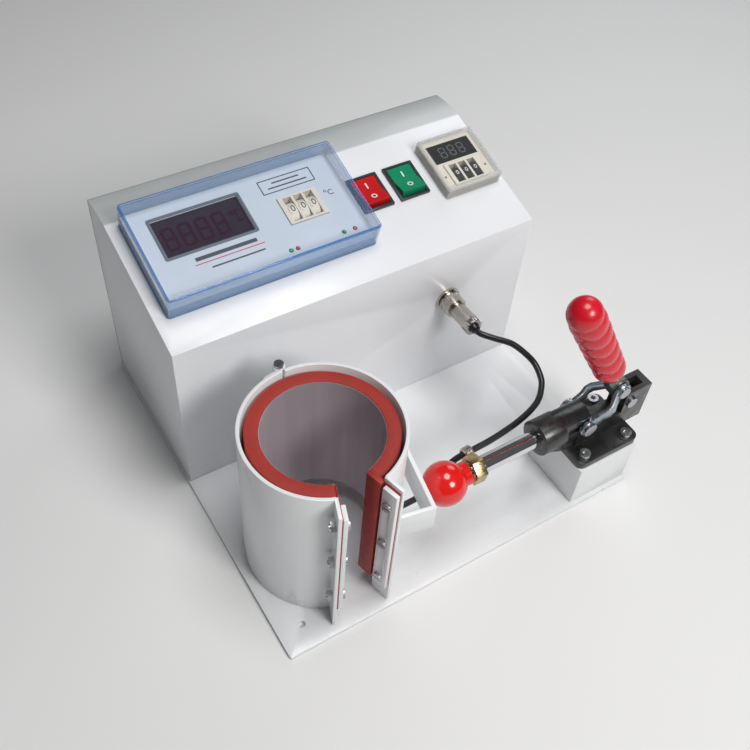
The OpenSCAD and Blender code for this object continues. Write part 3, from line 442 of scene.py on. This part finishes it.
def dress_cad(name, mat):
    """Gives a CAD node its material, smooth shading and, where listed, rounded edges."""
    o = frame["nodes"][name]
    if not o.material_slots:
        o.data.materials.append(mat)
    for held in o.material_slots:
        held.material = mat
    for polygon in o.data.polygons:
        polygon.use_smooth = True
    weld = o.modifiers.new("weld", "WELD")
    weld.merge_threshold = 1e-6
    if name in ROUNDED:
        bevel = o.modifiers.new("round_edges", "BEVEL")
        bevel.width = ROUNDED[name] * MM
        bevel.segments = 2
        bevel.limit_method = "ANGLE"
        bevel.angle_limit = math.radians(40)
    split = o.modifiers.new("crisp", "EDGE_SPLIT")
    split.split_angle = math.radians(34)


for material, names in CAD_LOOKS.items():
    for node_name in names.split():
        dress_cad(node_name, material)


# ---------- mesh helpers ----------
def piece(name, mesh, mats, body, matrix=None, replaces=()):
    """Puts a mesh in the scene as a piece that rides on a body."""
    o = bpy.data.objects.new(name, mesh)
    bpy.context.scene.collection.objects.link(o)
    for m in mats:
        mesh.materials.append(m)
    if matrix is not None:
        o.matrix_world = matrix
    if body:
        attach(o, body)
    if replaces:
        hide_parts(*replaces)
    return o


def crisp(o, angle=34):
    for polygon in o.data.polygons:
        polygon.use_smooth = True
    split = o.modifiers.new("crisp", "EDGE_SPLIT")
    split.split_angle = math.radians(angle)
    return o


def rounded(x0, y0, x1, y1, r, steps=6):
    """Points of a rectangle with round corners, anticlockwise."""
    corners = [
        (x1 - r, y1 - r, 0),
        (x0 + r, y1 - r, 90),
        (x0 + r, y0 + r, 180),
        (x1 - r, y0 + r, 270),
    ]
    points = []
    for cx, cy, start in corners:
        for k in range(steps + 1):
            a = math.radians(start + 90 * k / steps)
            points.append((cx + r * math.cos(a), cy + r * math.sin(a)))
    return points


def around(low, high, gap, r):
    """The rounded outline of a box on the panel, moved outwards by gap on every side."""
    return rounded(low.x - gap, low.y - gap, high.x + gap, high.y + gap, r)


def ring(cx, cy, r, steps=32):
    return [
        (cx + r * math.cos(2 * math.pi * k / steps), cy + r * math.sin(2 * math.pi * k / steps))
        for k in range(steps)
    ]


def curve_mesh(data):
    """The mesh of a curve or text data block."""
    holder = bpy.data.objects.new("holder", data)
    bpy.context.scene.collection.objects.link(holder)
    bpy.context.view_layer.update()
    graph = bpy.context.evaluated_depsgraph_get()
    mesh = bpy.data.meshes.new_from_object(holder.evaluated_get(graph))
    bpy.data.objects.remove(holder)
    mesh.materials.clear()
    return mesh


def flat_mesh(name, loops, depth, edge=0.0):
    """A flat plate with the given outlines, the inner ones being holes. Its middle is at height 0."""
    data = bpy.data.curves.new(name, "CURVE")
    data.dimensions = "2D"
    data.fill_mode = "BOTH"
    data.extrude = depth / 2 - edge
    data.bevel_depth = edge
    data.bevel_resolution = 2
    data.offset = -edge
    for loop in loops:
        spline = data.splines.new("POLY")
        spline.points.add(len(loop) - 1)
        for point, (x, y) in zip(spline.points, loop):
            point.co = (x, y, 0, 1)
        spline.use_cyclic_u = True
    return curve_mesh(data)


def text_mesh(name, body, size, depth):
    data = bpy.data.curves.new(name, "FONT")
    data.body = body
    data.size = size
    data.extrude = depth / 2
    data.align_x = "CENTER"
    data.align_y = "CENTER"
    return curve_mesh(data)


def loft(loops, bands=None, cap_start=False, cap_end=False):
    """A skin through loops of equal length. bands gives each skin band's material number."""
    made = bmesh.new()
    rows = [[made.verts.new(p) for p in loop] for loop in loops]
    count = len(loops[0])
    for i in range(len(rows) - 1):
        for k in range(count):
            face = made.faces.new(
                (rows[i][k], rows[i][(k + 1) % count], rows[i + 1][(k + 1) % count], rows[i + 1][k])
            )
            face.material_index = bands[i] if bands else 0
    if cap_start:
        made.faces.new(list(reversed(rows[0])))
    if cap_end:
        made.faces.new(rows[-1])
    made.normal_update()
    mesh = bpy.data.meshes.new("loft")
    made.to_mesh(mesh)
    made.free()
    return mesh


# ---------- covers ----------
ROUND_STEPS = 5


def cover(name, node, wall, corner, top_round, mats):
    """A moulded clear cover with round corners, in place of its square CAD solid.
    Its three looks are for the top, the rounded edges and the sides."""
    low, high = panel_box(node)
    foot, top = low.z, high.z

    def loop(inset, height):
        r = max(corner - inset, 0.4 * MM)
        return [(x, y, height) for x, y in around(low, high, -inset, r)]

    def side(inset, ceiling, radius):
        loops = [loop(inset, foot), loop(inset, ceiling - radius)]
        for k in range(1, ROUND_STEPS + 1):
            a = math.radians(90 / ROUND_STEPS * k)
            inwards, downwards = radius * (1 - math.cos(a)), radius * (1 - math.sin(a))
            loops.append(loop(inset + inwards, ceiling - downwards))
        return loops

    outer = side(0.0, top, top_round)
    inner = side(wall, top - wall, top_round * 0.6)
    loops = list(reversed(inner)) + outer
    # the caps close the top in look 0, look 1 is the edges' and look 2 the sides'
    edges = [1] * ROUND_STEPS
    bands = edges + [2, 1, 2] + edges
    made = loft(loops, bands, cap_start=True, cap_end=True)
    o = piece(name, made, mats, node, PANEL, [node])
    return crisp(o, 50)


cover(
    "controller_cover",
    "blue_cover",
    wall=1.3 * MM,
    corner=3.0 * MM,
    top_round=1.6 * MM,
    mats=[BLUE, BLUE_EDGE, BLUE_SIDE],
)
cover(
    "timer_cover_shell",
    "timer_cover",
    wall=1.0 * MM,
    corner=2.0 * MM,
    top_round=3.0 * MM,
    mats=[CLEAR, CLEAR_EDGE, CLEAR_SIDE],
)


# ---------- controller front ----------
INK_T = 0.08 * MM  # thickness of printed marks
MARK_T = 0.12 * MM  # thickness of the marks on wheels and rockers
SHEET_T = 0.25 * MM
LIP_T = 0.9 * MM
LAMP_INSET = 1.5 * MM
FRONT_GAP = 0.3 * MM  # between the printed sheet and what stands in its openings


def controller_front():
    low, high = panel_box("controller_case")
    win_low, win_high = panel_box("display_window")
    set_low, set_high = panel_box("setting_frame")
    lamps = []
    for node in ("lamps_green", "lamps_red"):
        a, b = panel_box(node)
        for x in (a.x + LAMP_INSET, b.x - LAMP_INSET):
            lamps.append((x, (a.y + b.y) / 2))
    face = high.z + SHEET_T / 2
    window = around(win_low, win_high, FRONT_GAP, 0.8 * MM)
    loops = [
        around(low, high, -1.2 * MM, 2 * MM),
        window,
        around(set_low, set_high, FRONT_GAP, 0.4 * MM),
    ]
    loops += [ring(x, y, 1.8 * MM, 20) for x, y in lamps]
    sheet = flat_mesh("controller_sheet", loops, SHEET_T)
    piece("controller_front_sheet", sheet, [GREY_FACE], "base", on_panel(face))
    # the raised lip round the display
    lip = [around(win_low, win_high, 2.4 * MM, 1.6 * MM), window]
    lip_mesh = flat_mesh("display_lip", lip, LIP_T, 0.25 * MM)
    piece("display_lip", lip_mesh, [WELL], "base", on_panel(face + 0.4 * MM))

    ink = face + SHEET_T / 2 + 0.04 * MM

    def bar(x0, y0, x1, y1, mat, name):
        m = flat_mesh(name, [rounded(x0, y0, x1, y1, 0.1 * MM, 2)], INK_T)
        piece(name, m, [mat], "base", on_panel(ink))

    # outlined plate above the setting wheels, with rules in place of lettering
    cx = (set_low.x + set_high.x) / 2 - 1.0 * MM
    plate_y = low.y + 60.5 * MM
    outline = [
        rounded(cx - 21 * MM, plate_y, cx + 21 * MM, plate_y + 12.4 * MM, 0.4 * MM),
        rounded(cx - 20.2 * MM, plate_y + 0.8 * MM, cx + 20.2 * MM, plate_y + 11.6 * MM, 0.3 * MM),
    ]
    m = flat_mesh("plate_outline", outline, INK_T)
    piece("controller_plate_outline", m, [INK], "base", on_panel(ink))
    for k, (w, y) in enumerate(((11, 7.6), (15.5, 3.6))):
        foot, head = plate_y + y * MM, plate_y + (y + 1.1) * MM
        bar(cx - w * MM, foot, cx + w * MM, head, INK, f"controller_plate_rule_{k}")
    # rules under the display
    x0, y0 = win_low.x + 14 * MM, win_low.y
    bar(x0, y0 - 12.6 * MM, x0 + 52 * MM, y0 - 11.9 * MM, INK_RED, "controller_red_rule")
    bar(x0 + 2 * MM, y0 - 9.6 * MM, x0 + 48 * MM, y0 - 6.6 * MM, INK, "controller_dark_rule")
    bar(x0 + 10 * MM, y0 - 18.0 * MM, x0 + 50 * MM, y0 - 16.8 * MM, INK, "controller_lower_rule")
    # degree mark beside the wheels
    gx, gy = set_high.x + 6 * MM, (set_low.y + set_high.y) / 2 + 4 * MM
    ring_y = gy + 2.2 * MM
    circles = [ring(gx, ring_y, r, 20) for r in (1.1 * MM, 0.6 * MM)]
    m = flat_mesh("degree", circles, INK_T)
    piece("degree_ring", m, [INK], "base", on_panel(ink))
    m = text_mesh("degree_c", "C", 6.5 * MM, INK_T)
    at = on_panel(ink) @ Matrix.Translation((gx + 3.6 * MM, gy, 0))
    piece("degree_letter", m, [INK], "base", at)


controller_front()


def wheel_digits(nodes, size, mat, digits):
    """The digit that shows at the top of each thumbwheel."""
    for node, digit in zip(nodes, digits):
        low, high = panel_box(node)
        m = text_mesh(node + "_digit", digit, size, MARK_T)
        place = ((low.x + high.x) / 2 + 0.4 * MM, (low.y + high.y) / 2, high.z - 0.02 * MM)
        at = PANEL @ Matrix.Translation(place)
        piece(node + "_digit", m, [mat], node, at)


wheel_digits([f"setting_wheel_{i}" for i in (1, 2, 3)], 7.2 * MM, INK, "000")
wheel_digits([f"timer_wheel_{i}" for i in (1, 2, 3)], 5.2 * MM, MARK, "000")


# ---------- timer display ----------
DIGIT_COUNT = 3
DIGIT_STEP_MM = 8.4
FIRST_DIGIT_MM = 8.5


def seven_loops(x, y, w, h, t):
    """Outlines of the seven bars of one digit, its lower left corner at x, y."""
    half = h / 2
    bars = (
        (t, h - t, w - t, h),
        (w - t, half + t / 2, w, h - t),
        (w - t, t, w, half - t / 2),
        (t, 0, w - t, t),
        (0, t, t, half - t / 2),
        (0, half + t / 2, t, h - t),
        (t, half - t / 2, w - t, half + t / 2),
    )
    return [
        rounded(x + x0, y + y0, x + x1, y + y1, 0.08 * MM, 2)
        for x0, y0, x1, y1 in bars
    ]


def timer_front():
    low, high = panel_box("timer_window")
    face = high.z + 0.06 * MM
    loops = []
    for k in range(DIGIT_COUNT):
        left = low.x + (FIRST_DIGIT_MM + DIGIT_STEP_MM * k) * MM
        loops += seven_loops(left, low.y + 3.6 * MM, w=5.6 * MM, h=10.2 * MM, t=0.9 * MM)
    m = flat_mesh("timer_digits", loops, INK_T)
    piece("timer_digits", m, [LCD], "base", on_panel(face))
    # a printed dot near each side of the face
    body_low, body_high = panel_box("timer_face")
    top = (body_high.z - 1.5 * MM) + 0.05 * MM
    for k, x in enumerate((body_low.x + 5.5 * MM, body_high.x - 5.5 * MM)):
        y = body_low.y + 13.5 * MM
        m = flat_mesh("timer_dot", [ring(x, y, 0.9 * MM, 20)], INK_T)
        piece(f"timer_dot_{k}", m, [INK], "base", on_panel(top))


timer_front()


# ---------- rocker marks ----------
def rocker_marks(node):
    """I and O marks on the two halves of a rocker, lying on its tilted faces."""
    low, high = panel_box(node)
    cx, cy = (low.x + high.x) / 2, (low.y + high.y) / 2
    graph = bpy.context.evaluated_depsgraph_get()
    target = frame["nodes"][node]
    shapes = {
        "on": [rounded(-0.55 * MM, -2.6 * MM, 0.55 * MM, 2.6 * MM, 0.3 * MM, 3)],
        "off": [ring(0, 0, 2.3 * MM), ring(0, 0, 1.4 * MM)],
    }
    reach = 5.6 * MM
    for shape, dy in (("on", reach), ("off", -reach)):
        above = PANEL @ Vector((cx, cy + dy, high.z + 5 * MM))
        hit, where, normal, _ = target.ray_cast(above, -NORMAL, depsgraph=graph)
        if not hit:
            continue
        normal = normal if normal.dot(NORMAL) > 0 else -normal
        across = Vector((1, 0, 0))
        along = normal.cross(across).normalized()
        at = Matrix((across, along, normal)).transposed().to_4x4()
        at.translation = where + normal * 0.05 * MM
        m = flat_mesh(f"{node}_{shape}", shapes[shape], MARK_T)
        piece(f"{node}_mark_{shape}", m, [MARK], node, at)


rocker_marks("red_rocker")
rocker_marks("green_rocker")


# ---------- heating mat ----------
MAT_T = 9.2 * MM
MAT_IN = MAT_OUT - MAT_T
GAP_LEFT, GAP_RIGHT = 20.0, 15.0  # degrees from the front of the sleeve to the mat's ends
MAT_STEPS = 180
FLANGE_END = SLEEVE_R + 12.0 * MM
FLAP = 0.95 * MM


def polar(r, degrees, side=0.0):
    """A plan point at a radius and angle round the sleeve, stepped sideways by side."""
    a = math.radians(degrees)
    return (
        SLEEVE_C.x + r * math.cos(a) - side * math.sin(a),
        SLEEVE_C.y + r * math.sin(a) + side * math.cos(a),
    )


def heating_mat():
    """One flexible mat from flange to flange, in one piece across the hinge, in its rest shape."""
    left, right = 270 - GAP_LEFT, -90 + GAP_RIGHT
    low, high = MAT_LOW.z, MAT_HIGH.z
    edge = 0.6 * MM
    shells = []

    def corners(a, b, c, d, r):
        return rounded(a, c, b, d, r, 3)

    body = []
    for k in range(MAT_STEPS + 1):
        angle = right + (left - right) * k / MAT_STEPS
        grow = edge if k in (0, MAT_STEPS) else 0.0
        section = corners(MAT_IN + grow, MAT_OUT - grow, low + grow, high - grow, edge)
        body.append([(*polar(r, angle), z) for r, z in section])
    shells.append(body)

    def flap(angle, inner, outer, side_a, side_b):
        loops = []
        stations = (
            (inner, 0.3 * MM),
            (inner + 0.4 * MM, 0.0),
            (outer - 0.3 * MM, 0.0),
            (outer, 0.2 * MM),
        )
        for r, grow in stations:
            section = corners(side_a + grow, side_b - grow, low + grow, high - grow, 0.25 * MM)
            loops.append([(*polar(r, angle, side), z) for side, z in section])
        shells.append(loops)

    flap(left, MAT_IN + 1.0 * MM, FLANGE_END, -0.02 * MM, FLAP)
    flap(right, SLEEVE_R - 3.0 * MM, FLANGE_END, -FLAP, 0.02 * MM)
    flap(right, MAT_IN + 0.6 * MM, SLEEVE_R - 1.5 * MM, -3.6 * MM, 0.5 * MM)
    made = bmesh.new()
    for loops in shells:
        part = loft(loops, None, True, True)
        made.from_mesh(part)
    bmesh.ops.recalc_face_normals(made, faces=made.faces)
    mesh = bpy.data.meshes.new("heating_mat")
    made.to_mesh(mesh)
    made.free()
    halves = ["fixed_mat", "moving_mat"]
    mat = piece("heating_mat", mesh, [SILICONE], None, None, halves)
    crisp(mat, 40)

    skin_out, skin_in = MAT_IN + 0.05 * MM, MAT_IN - 0.25 * MM
    z0, z1 = low + 0.7 * MM, high - 0.7 * MM
    loops = []
    for k in range(MAT_STEPS + 1):
        angle = right - 0.4 + (left - right + 0.8) * k / MAT_STEPS
        (ix, iy), (ox, oy) = polar(skin_in, angle), polar(skin_out, angle)
        loops.append([(ix, iy, z0), (ix, iy, z1), (ox, oy, z1), (ox, oy, z0)])
    mesh = loft(loops, None, True, True)
    skin = piece("mat_inner_foil", mesh, [FOIL], None)
    crisp(skin, 40)
    for o in (mat, skin):
        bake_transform(o)


heating_mat()


# ---------- handle grip ----------
HANDLE_LEAN = math.radians(31)
GRIP_START = 26.0 * MM
GRIP_LENGTH = 108.0 * MM
GRIP_R = 12.5 * MM
GRIP_RIBS = 6
GRIP_SIDES = 64
GRIP_FLAT = 0.97  # the grip's depth beside its width
DOME_STEPS = 14


def handle_grip():
    """A ribbed hand grip with a domed end, turned round the lever's axis."""
    profile = [
        (3.5 * MM, 0.0),
        (GRIP_R * 0.62, 0.0),
        (GRIP_R * 0.72, 0.6 * MM),
        (GRIP_R * 0.78, 2.0 * MM),
    ]
    dome = GRIP_R * 0.97
    body_top = GRIP_LENGTH - dome
    ribbed = body_top - 8.0 * MM
    steps = GRIP_RIBS * 12
    for k in range(steps + 1):
        t = k / steps
        wave = abs(math.sin(math.pi * GRIP_RIBS * t)) ** 0.75
        taper = 0.86 + 0.08 * t
        profile.append((GRIP_R * (taper - 0.03 + 0.14 * wave) - 0.2 * MM, 4.0 * MM + ribbed * t))
    for k in range(DOME_STEPS + 1):
        a = math.radians(90 * k / DOME_STEPS)
        profile.append((max(dome * math.cos(a), 0.01 * MM), body_top + dome * math.sin(a)))
    turns = [2 * math.pi * s / GRIP_SIDES for s in range(GRIP_SIDES)]
    loops = [
        [(r * math.cos(a), GRIP_FLAT * r * math.sin(a), z) for a in turns]
        for r, z in profile
    ]
    mesh = loft(loops, None, True, True)
    root = joint_at("link_turn")
    axis = Vector((-math.sin(HANDLE_LEAN), 0, math.cos(HANDLE_LEAN)))
    at = Matrix((axis.cross(Vector((0, 1, 0))) * -1, Vector((0, 1, 0)), axis)).transposed().to_4x4()
    at.translation = root + axis * GRIP_START
    o = piece("ribbed_grip", mesh, [GRIP], "handle", at, ["handle_grip"])
    return crisp(o, 60)


handle_grip()


# ---------- heater lead ----------
LEAD_R = 2.4 * MM
LEAD_SIDES = 20
LEAD_POINTS = [
    (0.0759, -0.0230, 0.09388),
    (0.0764, -0.0310, 0.09388),
    (0.0839, -0.0400, 0.09288),
    (0.0949, -0.0500, 0.08988),
    (0.1040, -0.0640, 0.0810),
    (0.1030, -0.0760, 0.0770),
    (0.0990, -0.0840, 0.0740),
    (0.0880, -0.0930, 0.0710),
    (0.0680, -0.0990, 0.0690),
    (0.0420, -0.1025, 0.0680),
    (0.0220, -0.1035, 0.0680),
    (0.01473, -0.1035, 0.0680),
    (0.00573, -0.1020, 0.0620),
    (-0.00227, -0.1000, 0.0450),
    (-0.01127, -0.0970, 0.0270),
    (-0.03453, -0.09345, 0.0190),
    (-0.03989, -0.09222, 0.0190),
]


def smooth_path(points, steps):
    """Points of a smooth curve through the given points."""
    path = []
    last = len(points) - 1
    for i in range(last):
        p0, p1, p2, p3 = (Vector(points[max(0, min(last, i + k))]) for k in (-1, 0, 1, 2))
        for j in range(steps):
            t = j / steps
            path.append(
                0.5
                * (
                    2 * p1
                    + (p2 - p0) * t
                    + (2 * p0 - 5 * p1 + 4 * p2 - p3) * t * t
                    + (3 * p1 - p0 - 3 * p2 + p3) * t**3
                )
            )
    path.append(Vector(points[last]))
    return path


def heater_lead():
    """The lead from the plug to the grommet."""
    path = smooth_path(LEAD_POINTS, 6)
    turns = [2 * math.pi * k / LEAD_SIDES for k in range(LEAD_SIDES)]
    loops = []
    side = Vector((1, 0, 0.2))
    for i, point in enumerate(path):
        ahead = path[min(i + 1, len(path) - 1)] - path[max(i - 1, 0)]
        ahead.normalize()
        side = (side - ahead * side.dot(ahead)).normalized()
        other = ahead.cross(side)
        loops.append(
            [point + LEAD_R * (math.cos(a) * side + math.sin(a) * other) for a in turns]
        )
    mesh = loft(loops, None, True, True)
    o = piece("heater_lead_tube", mesh, [LEAD], None, None, ["heater_lead"])
    crisp(o, 60)
    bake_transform(o)


heater_lead()


# ---------- floor, light and camera ----------
FLOOR_SIZE = 3.0
FLOOR_GAP = 0.2 * MM
CAMERA_AT = (-0.2702, -0.3817, 0.5968)
CAMERA_AHEAD = (0.3826, 0.5300, -0.7568)
CAMERA_UP = (0.364, 0.666, 0.651)
CAMERA_LENS_MM = 44.43


def floor():
    made = bmesh.new()
    bmesh.ops.create_grid(made, x_segments=8, y_segments=8, size=FLOOR_SIZE)
    mesh = bpy.data.meshes.new("floor")
    made.to_mesh(mesh)
    made.free()
    o = bpy.data.objects.new("floor", mesh)
    bpy.context.scene.collection.objects.link(o)
    mesh.materials.append(floor_paper())
    o.location.z = cad_bounds[0].z - FLOOR_GAP


def area_light(name, place, target, size, power, color=(1, 1, 1)):
    data = bpy.data.lights.new(name, "AREA")
    data.shape = "DISK"
    data.size = size
    data.energy = power
    data.color = color
    o = bpy.data.objects.new(name, data)
    bpy.context.scene.collection.objects.link(o)
    o.location = place
    o.rotation_mode = "QUATERNION"
    o.rotation_quaternion = (Vector(target) - Vector(place)).to_track_quat("-Z", "Y")


def world(strength):
    made = bpy.data.worlds.new("studio")
    bpy.context.scene.world = made
    made.use_nodes = True
    back = made.node_tree.nodes["Background"]
    back.inputs["Color"].default_value = (0.95, 0.97, 1.0, 1.0)
    back.inputs["Strength"].default_value = strength


def camera():
    """The photograph's viewpoint: high on the left of the front, with a slight roll."""
    data = bpy.data.cameras.new("camera")
    o = bpy.data.objects.new("camera", data)
    bpy.context.scene.collection.objects.link(o)
    ahead = Vector(CAMERA_AHEAD).normalized()
    up = Vector(CAMERA_UP)
    up = (up - ahead * up.dot(ahead)).normalized()
    right = ahead.cross(up)
    at = Matrix((right, up, -ahead)).transposed().to_4x4()
    at.translation = CAMERA_AT
    o.matrix_world = at
    data.sensor_width = 36.0
    data.lens = CAMERA_LENS_MM
    data.shift_y = 0.002
    data.clip_start = 0.02
    data.clip_end = 30.0
    bpy.context.scene.camera = o


floor()
area_light("key", (0.25, -1.25, 1.15), (0, 0, 0.08), 0.6, 15.0, (1.0, 0.985, 0.96))
area_light("top", (0.10, -0.15, 1.50), (0, 0, 0.10), 0.7, 9.5)
area_light("rim", (0.95, 0.55, 0.75), (0, 0, 0.10), 0.6, 2.0, (0.94, 0.97, 1.0))
world(0.10)
camera()
bpy.context.scene.view_settings.view_transform = "Standard"
